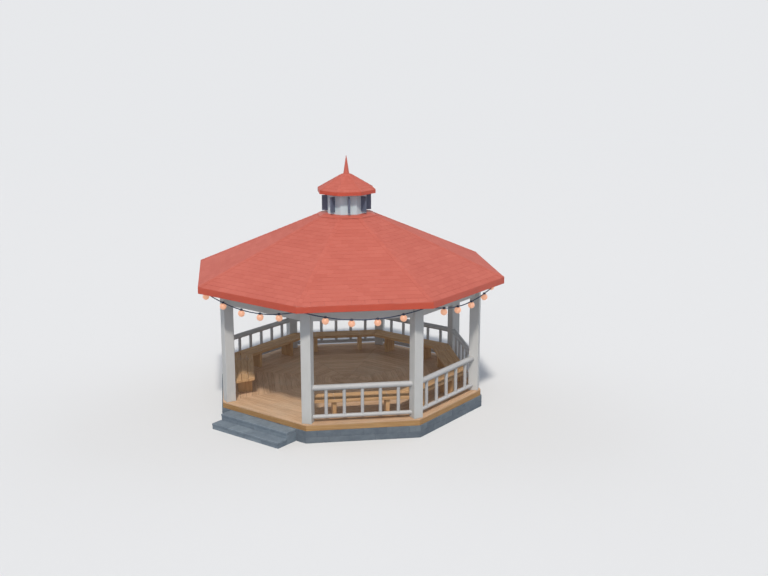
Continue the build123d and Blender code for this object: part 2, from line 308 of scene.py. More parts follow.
def far_lamp(name, bearing, elevation, strength, angle, tint, shadow):
    """Lamp that shines from a bearing and a height in the sky, and looks so many degrees wide."""
    lamp = new_object(name, bpy.data.lights.new(name, "SUN"))
    lamp.data.energy = strength
    lamp.data.angle = radians(angle)
    lamp.data.color = tint
    lamp.data.use_shadow = shadow
    lamp.rotation_euler = (radians(90 - elevation), 0, radians(bearing + 90))
    return lamp


def sky():
    """The backdrop, whose light is one strength and whose look is another."""
    world = bpy.data.worlds.new("backdrop")
    bpy.context.scene.world = world
    world.use_nodes = True
    tree = world.node_tree
    light = tree.nodes["Background"]
    light.inputs["Color"].default_value = (*SKY_COLOUR, 1)
    light.inputs["Strength"].default_value = SKY_STRENGTH
    look = add_node(tree, "Background", {"Color": PALE, "Strength": 1.0})
    blend = add_node(tree, "MixShader", {0: seen_directly(tree), 1: light.outputs[0], 2: look.outputs[0]})
    tree.links.new(blend.outputs[0], tree.nodes["World Output"].inputs["Surface"])


stage_floor()
sky()
far_lamp("sun", SUN_BEARING, SUN_ELEVATION, SUN_STRENGTH, SUN_ANGLE, SUN_COLOUR, True)
fill_lamps = []
for number in range(FILL_LAMPS):
    bearing = SUN_BEARING + 360 / FILL_LAMPS * number
    fill_lamps.append(far_lamp(f"fill_{number + 1}", bearing, FILL_ELEVATION, FILL_STRENGTH, FILL_ANGLE,
                               SKY_COLOUR, False))
bpy.context.scene.view_settings.view_transform = "Standard"
print("sun bearing", SUN_BEARING, "elevation", SUN_ELEVATION)

# %% [markdown]
# ## Many bars at once
#
# Most of a building is straight bars: boards, stones, posts, planks and shingles. What tells a
# real board from a plain block is its worn, slightly chamfered edge, which catches the light.
# A Bevel modifier could cut the chamfers, but a gazebo has some thousands of bars. So one
# function works them all out together, as arrays. A bar has a section of corners (u, v), four
# of them as a rule, and runs along w between two cutting planes, w = a u + b v + c, as a mitre is.

# %% The shape of a bar
def bar_faces(count):
    """End faces, quads and triangles of a bar whose section has that many corners. Its points are
    the near end's, one a corner, the near and the far ring's, two a corner, and the far end's."""
    corner = np.arange(count)
    after = (corner + 1) % count
    near, far, last = count, 3 * count, 5 * count
    ends = np.stack([corner[::-1], last + corner])
    triangles = [
        np.stack([corner, near + 2 * corner + 1, near + 2 * corner], 1),
        np.stack([last + corner, far + 2 * corner, far + 2 * corner + 1], 1),
    ]
    ring = np.arange(2 * count)
    ring_after = (ring + 1) % (2 * count)
    quads = [
        np.stack([corner, after, near + 2 * after, near + 2 * corner + 1], 1),
        np.stack([last + corner, far + 2 * corner + 1, far + 2 * after, last + after], 1),
        np.stack([near + ring, near + ring_after, far + ring_after, far + ring], 1),
    ]
    return ends, np.concatenate(quads), np.concatenate(triangles)


def bars(corners, near, far, chamfer):
    """Chamfered bars. Each corner of the section, moved by the chamfer along either of its two
    sides, gives two points of a ring, and moved along both it gives a point of the end face. The
    rings stand a chamfer in from the cutting planes. One section or one plane does for many bars."""
    count = max(len(corners), len(np.atleast_2d(near)))
    corners = np.broadcast_to(corners, (count, *np.shape(corners)[1:])).astype(float)
    near = np.broadcast_to(near, (count, 3))
    far = np.broadcast_to(far, (count, 3))
    before = np.roll(corners, 1, axis=1) - corners
    after = np.roll(corners, -1, axis=1) - corners
    before = before * chamfer / np.linalg.norm(before, axis=2, keepdims=True)
    after = after * chamfer / np.linalg.norm(after, axis=2, keepdims=True)
    end = corners + before + after
    ring = np.stack([corners + before, corners + after], axis=2).reshape(count, -1, 2)
    stations = [(end, near, 0), (ring, near, chamfer), (ring, far, -chamfer), (end, far, 0)]
    layers = []
    for points, plane, inwards in stations:
        along = np.einsum("npk,nk->np", points, plane[:, :2]) + plane[:, 2:] + inwards
        layers.append(np.concatenate([points, along[..., None]], axis=2))
    return np.concatenate(layers, axis=1)


def sections(*corners):
    """Sections with those corners (u, v), anticlockwise. Each value is a number or an array."""
    values = np.broadcast_arrays(*[np.atleast_1d(value) for corner in corners for value in corner])
    return np.stack(values, axis=1).reshape(-1, len(corners), 2)


def rectangle(u_low, u_high, v_low, v_high):
    """Rectangular sections. Each value is a number or an array."""
    return sections((u_low, v_low), (u_high, v_low), (u_high, v_high), (u_low, v_high))


def mitres(gap=0.0):
    """Near and far planes at a bay's two corners, each held back from its mitre line by half the gap."""
    back = gap / 2 / TO_FLAT
    return np.array([-MITRE, 0, back]), np.array([MITRE, 0, -back])


def cut_planes(cuts, gap, first, last):
    """Near and far planes of bars in a row: square cuts a gap wide, between a first and a last plane."""
    square = np.column_stack([np.zeros((len(cuts), 2)), cuts])
    back = np.array([0, 0, gap / 2])
    return np.vstack([first, square + back]), np.vstack([square - back, last])


def across(points):
    """A bar that lies across a bay: u is out, v is up, and w is -y, which keeps faces outwards."""
    return np.stack([points[..., 0], -points[..., 2], points[..., 1]], axis=-1)


def upright(points):
    """A bar that stands: u is out, v is across and w is up."""
    return points


# %% [markdown]
# ## Putting bars into Blender
#
# A mesh needs points and faces. Each piece also carries attributes that its finish reads. "grain"
# holds every point's place in its own bar, with w along the bar, so that wood grain runs the
# length of each board whichever way it faces. "tone" is one random number for each bar, because
# no two boards or stones have quite the same colour. A round piece is shaded smooth, except over
# edges sharper than 40 degrees, such as where a rail is sawn off.

# %% Make a piece
SHARP_EDGE = 40
GRAIN_SHIFT = 50


def make_piece(name, node, vertices, faces, material, grain, tone=None, smooth=False):
    """Object at the origin, from points and faces, that rides on the gazebo and replaces a node."""
    mesh = bpy.data.meshes.new(name)
    mesh.from_pydata(vertices.reshape(-1, 3).tolist(), [], faces)
    attribute = mesh.attributes.new("grain", "FLOAT_VECTOR", "POINT")
    attribute.data.foreach_set("vector", np.ascontiguousarray(grain, np.float32).ravel())
    if tone is not None:
        attribute = mesh.attributes.new("tone", "FLOAT", "POINT")
        attribute.data.foreach_set("value", np.ascontiguousarray(tone, np.float32).ravel())
    mesh.polygons.foreach_set("use_smooth", np.full(len(mesh.polygons), smooth))
    mesh.materials.append(material)
    mesh.update()
    if smooth:
        mesh.set_sharp_from_angle(angle=radians(SHARP_EDGE))
    piece = new_object(name, mesh)
    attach(piece, "root")
    if node is not None:
        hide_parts(node)
    return piece


def bar_piece(name, node, local, material, seed, place=across, angles=BAY_ANGLES, grain=None):
    """Piece made of the same bars in each of the bays or corners that the angles give. The grain is
    the bars' own space, unless they run another way than their w."""
    random = np.random.default_rng(seed)
    count = len(angles) * len(local)
    size = local.shape[1]
    shift = random.uniform(-GRAIN_SHIFT, GRAIN_SHIFT, (len(angles), len(local), 1, 3))
    tone = np.repeat(random.uniform(-1, 1, count), size)
    starts = size * np.arange(count)[:, None, None]
    faces = []
    for part in bar_faces(size // 6):
        faces += (part + starts).reshape(-1, part.shape[1]).tolist()
    grain = local if grain is None else grain
    print(f"{name}: {count} bars")
    points = everywhere(place(local), angles)
    return make_piece(name, node, points, faces, material, grain + shift, tone)


# %% [markdown]
# ## Finishes: shared tools
#
# A finish is a tree of shader nodes. The patterns are in metres, so a wood fibre is a millimetre
# wide on a bench and on a beam alike. Noise stretched along one axis makes brush marks and grain.
# Two or three sizes of noise together look natural, and one size alone looks like a pattern. Most
# of a noise lies between 0.3 and 0.7, so that is the range that moves a finish's roughness.

# %% Shader helpers
PATTERN_LOW = 0.3
PATTERN_HIGH = 0.7


def new_finish(name, roughness, metallic=0.0, specular=0.5):
    """Material, its tree and its Object coordinates, which are the whole gazebo's space. What is the
    same all over is set on the shader itself."""
    material = bpy.data.materials.new(name)
    material.use_nodes = True
    shader = material.node_tree.nodes["Principled BSDF"]
    shader.inputs["Roughness"].default_value = roughness
    shader.inputs["Metallic"].default_value = metallic
    shader.inputs["Specular IOR Level"].default_value = specular
    print("finish:", name)
    return material, material.node_tree, add_node(material.node_tree, "TexCoord").outputs["Object"]


def grain_of(tree):
    """Each bar's own space."""
    return add_node(tree, "Attribute", attribute_name="grain").outputs["Vector"]


def tone_of(tree):
    """The random number of each bar, from -1 to 1."""
    return add_node(tree, "Attribute", attribute_name="tone").outputs["Fac"]


def noise(tree, place, scale, detail=3.0, roughness=0.55):
    """Soft noise from 0 to 1, with that many grains to the metre, all ways or along each axis."""
    scales = np.broadcast_to(scale, 3).astype(float).tolist()
    spread = add_node(tree, "VectorMath", {0: place, 1: scales}, operation="MULTIPLY").outputs[0]
    inputs = {"Vector": spread, "Scale": 1.0, "Detail": detail, "Roughness": roughness}
    return add_node(tree, "TexNoise", inputs).outputs[0]


def ranged(tree, value, low, high, to_low, to_high):
    """The value, moved from one range to another and kept inside it."""
    inputs = {"Value": value, "From Min": low, "From Max": high, "To Min": to_low, "To Max": to_high}
    return add_node(tree, "MapRange", inputs).outputs[0]


def summed(tree, *values):
    """The sum of some values. One that comes with four numbers is moved to a range of its own."""
    total, *others = [ranged(tree, *value) if isinstance(value, tuple) else value for value in values]
    for value in others:
        total = combined(tree, "ADD", total, value)
    return total


def colour(tint):
    """Colour as a picture editor gives it, 0 to 255, turned into the light that Blender counts."""
    share = np.array(tint) / 255
    return (*np.where(share <= 0.04045, share / 12.92, ((share + 0.055) / 1.055) ** 2.4).tolist(), 1.0)


def blended(tree, share, *tints):
    """Two colours mixed. Each is a node's output, or three numbers as a picture editor gives them."""
    first, second = [colour(tint) if isinstance(tint, tuple) else tint for tint in tints]
    return add_node(tree, "Mix", {0: share, 6: first, 7: second}, data_type="RGBA").outputs[2]


def surfaced(tree, tint, pattern, roughness, height, depth):
    """Feeds the shader its colour, relief of that depth in metres, and a roughness that the pattern
    moves between two values, unless there is no pattern."""
    inputs = tree.nodes["Principled BSDF"].inputs
    tree.links.new(tint, inputs["Base Color"])
    if pattern is not None:
        uneven = ranged(tree, pattern, PATTERN_LOW, PATTERN_HIGH, *roughness)
        tree.links.new(uneven, inputs["Roughness"])
    bump = add_node(tree, "Bump", {"Height": height, "Distance": depth, "Strength": 1.0})
    tree.links.new(bump.outputs[0], inputs["Normal"])


# %% [markdown]
# ## Finish: painted timber
#
# Posts, rails, beams and fascias are softwood under several coats of exterior paint. The brush
# leaves fine strokes along the timber, the grain shows faintly through, and the gloss varies
# from stroke to stroke. Dust settles low down, where rain splashes up from the deck.

# %% Painted timber
BRUSH_MARKS = (160, 160, 3)
FIBRES_A_STROKE = 3.5
SPLASH_HEIGHT = 0.22


def painted_timber(name, tint, dusty, space="grain", along=BRUSH_MARKS, roughness=0.5, splash=None,
                   felt=None):
    """Paint with brush marks along the timber, faint dust, and grime up from the height splash. Felt
    is the colour of what covers the faces that look up, if anything does."""
    material, tree, world = new_finish(name, roughness)
    place = grain_of(tree) if space == "grain" else world
    strokes = noise(tree, place, along, 2.0)
    fibres = noise(tree, place, FIBRES_A_STROKE * np.array(along))
    clouds = noise(tree, world, (1.7, 1.7, 1.1), 4.0)
    specks = noise(tree, world, 38, 4.0, 0.7)
    worn = summed(tree, (clouds, 0.42, 0.72, 0, 0.30), (strokes, 0.45, 0.8, 0, 0.22),
                  (specks, 0.62, 0.78, 0, 0.25))
    if splash is not None:
        up = add_node(tree, "SeparateXYZ", {0: world}).outputs["Z"]
        low = ranged(tree, up, splash, splash + SPLASH_HEIGHT, 0.42, 0)
        worn = summed(tree, worn, combined(tree, "MULTIPLY", low, clouds))
    painted = blended(tree, worn, tint, dusty)
    if felt is not None:
        normal = add_node(tree, "NewGeometry").outputs["True Normal"]
        facing = add_node(tree, "SeparateXYZ", {0: normal}).outputs["Z"]
        painted = blended(tree, ranged(tree, facing, 0.2, 0.3, 0, 1), painted, felt)
    relief = summed(tree, strokes, (fibres, 0, 1, 0, 0.5))
    surfaced(tree, painted, strokes, (roughness - 0.09, roughness + 0.13), relief, depth=0.0007)
    return material


WHITE = (191, 189, 184)
WHITE_DUST = (164, 162, 154)
white_post = painted_timber("white_post_paint", WHITE, WHITE_DUST, splash=top("deck"))
white_paint = painted_timber("white_paint", WHITE, WHITE_DUST)
# The rails' white is a darker copy of the same paint: painted shade that tones down the sun on their round
# tops.
rail_white_painted_shade = painted_timber("rail_white_painted_shade_paint", (176, 174, 171), (151, 148, 140))
white_ceiling = painted_timber("white_ceiling_paint", WHITE, WHITE_DUST, felt=(120, 56, 46))
white_frame = painted_timber("white_frame_paint", WHITE, WHITE_DUST, "object", 60)
# The drum's white is tinted cool: painted light that offsets the red light the roof bounces onto it.
drum_white_against_bounce = painted_timber("drum_white_against_bounce_paint", (192, 206, 208), (166, 176, 175))
fascia_red = painted_timber("fascia_red_paint", (187, 74, 50), (159, 63, 45), roughness=0.42)
spire_red = painted_timber("spire_red_paint", (186, 90, 71), (162, 78, 63), "object", (50, 50, 8))

# %% [markdown]
# ## Finish: oiled timber
#
# Deck and benches are boards of a brown hardwood, oiled and walked on. A board's colour comes
# from its growth rings, cut lengthwise into long waves, from fine pores, and from a tone of its
# own. Grey patches show where the oil has worn off.

# %% Oiled timber
def oiled_timber(name, light, dark, worn, roughness=0.62):
    """Long wavy rings and fine pores along each board, a tone for each board, and worn patches."""
    material, tree, world = new_finish(name, roughness, specular=0.3)
    place = grain_of(tree)
    bend = noise(tree, place, (9, 9, 0.8), 2.0)
    waves = add_node(tree, "Math", {0: ranged(tree, bend, 0, 1, 0, 26)}, operation="SINE").outputs[0]
    rings = ranged(tree, waves, -1, 1, 0, 1)
    pores = noise(tree, place, (420, 420, 9), 3.0, 0.6)
    patches = noise(tree, world, 1.3, 4.0, 0.6)
    share = summed(tree, (rings, 0, 1, 0.08, 0.42), (pores, 0.4, 0.75, 0, 0.34),
                   (tone_of(tree), -1, 1, -0.16, 0.2))
    wood = blended(tree, share, light, dark)
    wood = blended(tree, ranged(tree, patches, 0.48, 0.75, 0, 0.38), wood, worn)
    relief = summed(tree, pores, (rings, 0, 1, 0, 0.6))
    surfaced(tree, wood, pores, (roughness - 0.08, roughness + 0.16), relief, depth=0.0009)
    return material


deck_timber = oiled_timber("deck_timber", (204, 168, 134), (160, 124, 90), (184, 165, 141))
rim_timber = oiled_timber("rim_timber", (176, 138, 92), (135, 97, 56), (160, 131, 95))
bench_timber = oiled_timber("bench_timber", (200, 161, 117), (153, 113, 74), (178, 152, 121))

# %% [markdown]
# ## Finish: stone and mortar
#
# The plinth and its steps are blue-grey stone in cement mortar. Sawn stone has fine dark and
# pale specks, larger clouds of colour, and a slightly pitted face. A tone for each stone keeps
# the courses from reading as one cast block.

# %% Stone and mortar
def masonry(name, pale, deep, spots, pits, roughness=0.78):
    """Clouds of two colours, a tone for each stone, sharp specks and small pits."""
    material, tree, world = new_finish(name, roughness, specular=0.35)
    clouds = noise(tree, world, (5, 5, 7), 5.0, 0.6)
    grit = noise(tree, world, 150, 3.0, 0.7)
    specks = add_node(tree, "TexVoronoi", {"Vector": world, "Scale": 260.0}).outputs["Distance"]
    share = summed(tree, (clouds, 0.3, 0.7, 0.1, 0.75), (tone_of(tree), -1, 1, -0.2, 0.24))
    stone = blended(tree, share, pale, deep)
    stone = blended(tree, ranged(tree, specks, 0.05, 0.22, 0.3, 0), stone, spots)
    relief = summed(tree, grit, (clouds, 0, 1, 0, 2.0))
    surfaced(tree, stone, grit, (roughness - 0.12, roughness + 0.14), relief, depth=pits)
    return material


plinth_stone = masonry("plinth_stone", (109, 117, 122), (84, 92, 100), (62, 68, 77), 0.0015)
step_stone = masonry("step_stone", (126, 136, 142), (98, 108, 117), (70, 77, 86), 0.0012)
mortar = masonry("mortar", (100, 105, 112), (84, 89, 97), (62, 67, 74), 0.0008, 0.9)

# %% [markdown]
# ## Finish: red shingles
#
# The roof is covered in flat red shingles. Each has mineral grit pressed into its face, some
# grit has washed off towards the butt, and each tab has its own tone. From the path the tabs
# blur into one warm red, which is why the tones stay close to each other.

# %% Shingles
def gritted(name, light, dark):
    """Coarse grit, slow clouds and a tone for each tab."""
    material, tree, world = new_finish(name, 0.8, specular=0.3)
    grit = noise(tree, world, 430, 2.0, 0.8)
    clouds = noise(tree, world, 0.8, 4.0, 0.6)
    share = summed(tree, (grit, 0.3, 0.72, 0, 0.5), (tone_of(tree), -1, 1, -0.07, 0.22),
                   (clouds, 0.35, 0.7, -0.05, 0.18))
    surfaced(tree, blended(tree, share, light, dark), grit, (0.7, 0.92), grit, depth=0.0012)
    return material


roof_shingle = gritted("roof_shingle_red", (193, 104, 88), (171, 81, 66))

# %% [markdown]
# ## The plinth
#
# An octagonal plinth of two courses of stone carries the deck. The stones are about half a metre
# long and the joints are raked back a few millimetres, so a slightly smaller core of mortar
# shows in them. Alternate courses break joint by half a stone, as any wall does.

# %% Lay the plinth
STONE_DEPTH = 0.20
STONE_JOINT = 0.006
STONE_CHAMFER = 0.004
SHORTEST_STONE = 0.1
MORTAR_RECESS = 0.006
MORTAR_CHAMFER = 0.001
STONES_A_SIDE = 5
CORE_INNER = 0.30
PLINTH_FLAT = reach("plinth")
PLINTH_TOP = top("plinth")


def stone_course(low, high, offset):
    """One course of a side, mitred at its two corners: joints at even steps, shifted by the offset,
    which is nothing or half a stone."""
    side = 2 * PLINTH_FLAT * MITRE
    steps = np.arange(1, STONES_A_SIDE + (offset == 0.5)) - offset
    cuts = side * (steps / STONES_A_SIDE - 0.5)
    cuts = cuts[np.abs(cuts) < side / 2 - SHORTEST_STONE]
    section = rectangle(PLINTH_FLAT - STONE_DEPTH, PLINTH_FLAT, low, high)
    return bars(section, *cut_planes(cuts, STONE_JOINT, *mitres(STONE_JOINT / 2)), STONE_CHAMFER)


half = PLINTH_TOP / 2
lower_course = stone_course(0, half - STONE_JOINT / 2, 0)
upper_course = stone_course(half + STONE_JOINT / 2, PLINTH_TOP, 0.5)
stones = np.concatenate([lower_course, upper_course])
bar_piece("plinth_stones", "plinth", stones, plinth_stone, 2)

core_section = rectangle(CORE_INNER, PLINTH_FLAT - MORTAR_RECESS, 0, PLINTH_TOP - MORTAR_RECESS)
core = bars(core_section, *mitres(), MORTAR_CHAMFER)
bar_piece("plinth_core", None, core, mortar, 3)

# %% [markdown]
# ## The steps
#
# Two stone steps lead up to the entrance. Each is a row of thick tread slabs on a row of riser
# blocks, with the slabs' front edge eased so that it doesn't chip. They are the same kind of bar
# as the plinth's stones, with square ends.

# %% Set the steps
TREAD_THICKNESS = 0.055
TREAD_CHAMFER = 0.006
TREADS_A_STEP = 4
RISER_SETBACK = 0.012


def step_stones(node):
    """Treads and risers of one step, and their mortar, between the ends that its solid gives."""
    low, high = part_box(node)
    inner, outer = -high[1], -low[1]
    face = outer - RISER_SETBACK
    tread_low = high[2] - TREAD_THICKNESS
    cuts = np.linspace(low[0], high[0], TREADS_A_STEP + 1)[1:-1]
    near, far = cut_planes(cuts, STONE_JOINT, (0, 0, low[0]), (0, 0, high[0]))
    slabs = bars(rectangle(inner, outer, tread_low, high[2]), near, far, TREAD_CHAMFER)
    blocks = bars(rectangle(inner, face, 0, tread_low - STONE_JOINT), near, far, STONE_CHAMFER)
    fill = rectangle(inner, face - MORTAR_RECESS, 0, high[2] - MORTAR_RECESS)
    ends = np.array([0, 0, MORTAR_RECESS])
    return np.concatenate([slabs, blocks]), bars(fill, near[0] + ends, far[-1] - ends, MORTAR_CHAMFER)


entrance = BAY_ANGLES[[ENTRANCE_BAY]]
for number, node in enumerate(("step_upper", "step_lower")):
    stones, filling = step_stones(node)
    bar_piece(f"{node}_stones", node, stones, step_stone, 4 + number, angles=entrance)
    bar_piece(f"{node}_mortar", None, filling, mortar, 6 + number, angles=entrance)

# %% [markdown]
# ## The deck
#
# The deck is laid in eight wedges of boards that run parallel to the sides and meet in mitres
# over the joists. A rim board closes the edge and a small octagonal centre piece covers the
# place where the eight wedges would run out to nothing. A timber sheet under the boards stands
# for the joists, and its dark colour is painted shade that shows in the gaps.

# %% Lay the deck
BOARD_WIDTH = 0.140
BOARD_GAP = 0.005
BOARD_THICKNESS = 0.028
BOARD_CHAMFER = 0.0025
HUB_LEAST = 0.24
HUB_INNER = 0.004
HUB_CHAMFER = 0.0015
RIM_THICKNESS = 0.032
RIM_GAP = 0.001
RIM_CHAMFER = 0.003
JOIST_INNER = 0.01
JOIST_DROP = 0.006
JOIST_CHAMFER = 0.0005
TIGHT_MITRE = 0.001
DECK_FLAT = reach("deck")
DECK_TOP = top("deck")

board_low = DECK_TOP - BOARD_THICKNESS
board_pitch = BOARD_WIDTH + BOARD_GAP
board_edges = DECK_FLAT - board_pitch * np.arange(int((DECK_FLAT - HUB_LEAST) / board_pitch))
board_section = rectangle(board_edges - BOARD_WIDTH, board_edges, board_low, DECK_TOP)
boards = bars(board_section, *mitres(BOARD_GAP), BOARD_CHAMFER)
bar_piece("deck_boards", "deck", boards, deck_timber, 10)

rim_section = rectangle(DECK_FLAT - RIM_THICKNESS, DECK_FLAT, PLINTH_TOP, board_low - RIM_GAP)
rim = bars(rim_section, *mitres(TIGHT_MITRE), RIM_CHAMFER)
bar_piece("deck_rim", None, rim, rim_timber, 11)

hub = bars(rectangle(HUB_INNER, board_edges[-1] - board_pitch, board_low, DECK_TOP), *mitres(), HUB_CHAMFER)
bar_piece("deck_hub", None, hub, deck_timber, 12)

# The sheet under the boards stands for the joists, and its dark colour is painted shade for the gaps between
# the boards.
joists_painted_shade_timber = oiled_timber("joists_painted_shade_timber", (92, 74, 58), (66, 52, 40), (84, 76, 66), 0.85)
rim_back = DECK_FLAT - RIM_THICKNESS - RIM_GAP
joist_section = rectangle(JOIST_INNER, rim_back, PLINTH_TOP, board_low - JOIST_DROP)
joists = bars(joist_section, *mitres(), JOIST_CHAMFER)
bar_piece("deck_joists", None, joists, joists_painted_shade_timber, 13)

# %% [markdown]
# ## The benches
#
# A bench runs round inside the seven railed bays. Its seat is three thick planks with narrow
# gaps for the rain, mitred to the next bay's seat, on slab legs. Eased edges matter most here,
# because people sit on them.

# %% Build the benches
SEAT_PLANKS = 3
PLANK_GAP = 0.008
PLANK_CHAMFER = 0.007
SEAT_JOINT = 0.002
SEAT_FRONT = 2.4202
SEAT_BACK = 2.9002
SEAT_TOP = top("bench_seat_1")
SEAT_BOTTOM = bottom("bench_seat_1")
LEG_SETBACK = 0.060
LEG_THICKNESS = 0.090
LEG_CHAMFER = 0.006
LEG_INSET = 0.377

plank = (SEAT_BACK - SEAT_FRONT - (SEAT_PLANKS - 1) * PLANK_GAP) / SEAT_PLANKS
fronts = SEAT_FRONT + (plank + PLANK_GAP) * np.arange(SEAT_PLANKS)
seat = bars(rectangle(fronts, fronts + plank, SEAT_BOTTOM, SEAT_TOP), *mitres(SEAT_JOINT), PLANK_CHAMFER)
for number, bay in enumerate(RAILED_BAYS, start=1):
    bar_piece(f"bench_planks_{number}", f"bench_seat_{number}", seat, bench_timber,
              20 + bay, angles=BAY_ANGLES[[bay]])

leg_place = SEAT_FRONT * MITRE - LEG_INSET
leg_middles = np.array([-leg_place, leg_place])
leg_section = rectangle(SEAT_FRONT + LEG_SETBACK, SEAT_BACK - LEG_SETBACK,
                        leg_middles - LEG_THICKNESS / 2, leg_middles + LEG_THICKNESS / 2)
legs = bars(leg_section, (0, 0, DECK_TOP), (0, 0, SEAT_BOTTOM), LEG_CHAMFER)
bar_piece("bench_leg_slabs", "bench_legs", legs, bench_timber, 30, upright,
          BAY_ANGLES[RAILED_BAYS])

# %% [markdown]
# ## Posts, beams and fascias
#
# The eight posts are square and painted. Their heads are cut to the slope of the hip rafters,
# which a tilted cutting plane gives. The beams between them are cut against the posts' side
# faces, which lie half a post's width off the mitre lines, so their ends are planes as well.

# %% Raise the posts and beams
POST_RADIUS = 3.295
POST_SIZE = 0.235
POST_CHAMFER = 0.007
POST_LINE = POST_RADIUS * TO_FLAT
BEAM_WIDTH = 0.140
BEAM_CHAMFER = 0.006
FASCIA_CHAMFER = 0.0035
HIP_SLOPE = ROOF_SLOPE * TO_FLAT

hip_underside = roof_height(0) - ROOF_FRAME_DEPTH
half_post = POST_SIZE / 2
post_section = rectangle(POST_RADIUS - half_post, POST_RADIUS + half_post, -half_post, half_post)
post = bars(post_section, (0, 0, DECK_TOP), (-HIP_SLOPE, 0, hip_underside), POST_CHAMFER)
for corner, angle in enumerate(CORNER_ANGLES):
    bar_piece(f"post_timber_{corner + 1}", f"post_{corner + 1}", post, white_post,
              40 + corner, upright, [angle])

beam_section = rectangle(POST_LINE - BEAM_WIDTH / 2, POST_LINE + BEAM_WIDTH / 2,
                         bottom("eaves_beams"), top("eaves_beams"))
beams = bars(beam_section, *mitres(POST_SIZE), BEAM_CHAMFER)
bar_piece("eaves_beam_timbers", "eaves_beams", beams, white_paint, 50)

fascia_back = EAVE_FLAT - FASCIA_THICKNESS
fascia_section = sections((fascia_back, EAVE_LOW), (EAVE_FLAT, EAVE_LOW), (EAVE_FLAT, EAVE_TOP),
                          (fascia_back, roof_height(fascia_back)))
fascia = bars(fascia_section, *mitres(TIGHT_MITRE), FASCIA_CHAMFER)
bar_piece("fascia_timbers", "fascia_boards", fascia, fascia_red, 51)

# %% [markdown]
# ## The roof's frame
#
# From inside, the rafters fan out from an octagonal curb to the plates on the posts. A rafter is
# a bar whose section is its own side view: five corners, because its tail is cut level behind
# the fascia. It lies across its w, so the brush marks need a grain that is turned to its slope.

# %% Frame the roof
PLATE_WIDTH = 0.120
PANEL_DEPTH = 0.060
COMMON_RAFTER_WIDTH = 0.070
HIP_RAFTER_WIDTH = 0.090
RAFTER_END_GAP = 0.0003
CURB_INNER = 0.4007
FRAME_CHAMFER = 0.004
CURB_FLAT = reach("cupola_curb")
ROOF_TOP = top("cupola_curb")

plate_outer = POST_LINE + PLATE_WIDTH / 2
plate_inner = plate_outer - PLATE_WIDTH
plate_low = bottom("wall_plates")
plate_section = sections((plate_inner, plate_low), (plate_outer, plate_low),
                         (plate_outer, roof_height(plate_outer) - ROOF_FRAME_DEPTH),
                         (plate_inner, roof_height(plate_inner) - ROOF_FRAME_DEPTH))
plates = bars(plate_section, *mitres(POST_SIZE), FRAME_CHAMFER)
bar_piece("wall_plate_timbers", "wall_plates", plates, white_paint, 52)


def rafters(name, node, outer, per_flat, width, lowered, angles, seed):
    """Bars under the roof from the curb to outer. The factor per_flat turns a way out along the
    rafter into one along a bay."""
    def under_roof(out, depth):
        return roof_height(out * per_flat) - depth

    inner = CURB_FLAT / per_flat
    tail = (EAVE_FLAT - (ROOF_FRAME_DEPTH - FASCIA_DEPTH) / ROOF_SLOPE) / per_flat
    depth = PANEL_DEPTH + lowered
    section = sections((inner, under_roof(inner, ROOF_FRAME_DEPTH)), (tail, EAVE_LOW), (outer, EAVE_LOW),
                       (outer, under_roof(outer, depth)), (inner, under_roof(inner, depth)))
    timbers = bars(section, (0, 0, -width / 2), (0, 0, width / 2), FRAME_CHAMFER)
    fall = np.arctan(ROOF_SLOPE * per_flat)
    out, up, side = timbers[..., 0], timbers[..., 1], timbers[..., 2]
    grain = np.stack([out * sin(fall) + up * cos(fall), side, out * cos(fall) - up * sin(fall)], axis=-1)
    bar_piece(name, node, timbers, white_paint, seed, across, angles, grain)


common_end = fascia_back - RAFTER_END_GAP
hip_end = (fascia_back - HIP_RAFTER_WIDTH / 2 * sin(HALF_BAY)) / TO_FLAT - RAFTER_END_GAP
hip_lowered = HIP_RAFTER_WIDTH / 2 * sin(HALF_BAY) * ROOF_SLOPE
rafters("common_rafter_timbers", "common_rafters", common_end, 1, COMMON_RAFTER_WIDTH, 0, BAY_ANGLES, 53)
rafters("hip_rafter_timbers", "hip_rafters", hip_end, TO_FLAT, HIP_RAFTER_WIDTH, hip_lowered, CORNER_ANGLES,
        54)

curb_section = rectangle(CURB_INNER, CURB_FLAT, bottom("cupola_curb"), ROOF_TOP)
curb = bars(curb_section, *mitres(TIGHT_MITRE), FRAME_CHAMFER)
bar_piece("curb_timbers", "cupola_curb", curb, white_paint, 55)

# %% [markdown]
# ## The railings
#
# Each railed bay has two round rails with five round balusters between them. A round bar is a
# circle carried along a line, so its points are two parameters on a grid: the turn round the
# circle and the way along the line. The rails end against the posts, on the same slanting planes
# as the beams, so the end rings lean with the post.

# %% Turn the rails and balusters
TOP_RAIL_RADIUS = 0.068
TOP_RAIL_HEIGHT = 0.895
BOTTOM_RAIL_RADIUS = 0.0485
BOTTOM_RAIL_CENTRE = 0.128
RAIL_RINGS = 9
BALUSTER_RADIUS = 0.040
BALUSTER_RINGS = 5
BALUSTERS = 5
ROUND_SIDES = 32


def rail(radius, level):
    """Round bar across the bay. Each ring is a share of the way between the two slanting ends."""
    x, z = circle(ROUND_SIDES)
    out = POST_LINE + radius * x
    y = np.linspace(1, -1, RAIL_RINGS)[:, None] * (out * MITRE - POST_SIZE / 2 / TO_FLAT)
    points = np.stack(np.broadcast_arrays(out, y, level + radius * z), axis=2)
    return points, np.stack(np.broadcast_arrays(radius * x, radius * z, y), axis=2)


def baluster(across_by, low, high):
    """Round bar that stands between the rails, its ends hidden inside them."""
    x, y = circle(ROUND_SIDES)
    up = np.linspace(low, high, BALUSTER_RINGS)[:, None]
    grain = np.stack(np.broadcast_arrays(BALUSTER_RADIUS * x, BALUSTER_RADIUS * y, up), axis=2)
    return grain + [POST_LINE, across_by, 0], grain


def tube_faces(rings, sides, start):
    """Quads of a tube, and one many-sided face on each end."""
    here = start + np.arange(sides)
    ends = [here[::-1].tolist(), (here + sides * (rings - 1)).tolist()]
    return ring_quads(rings, sides, start).tolist() + ends


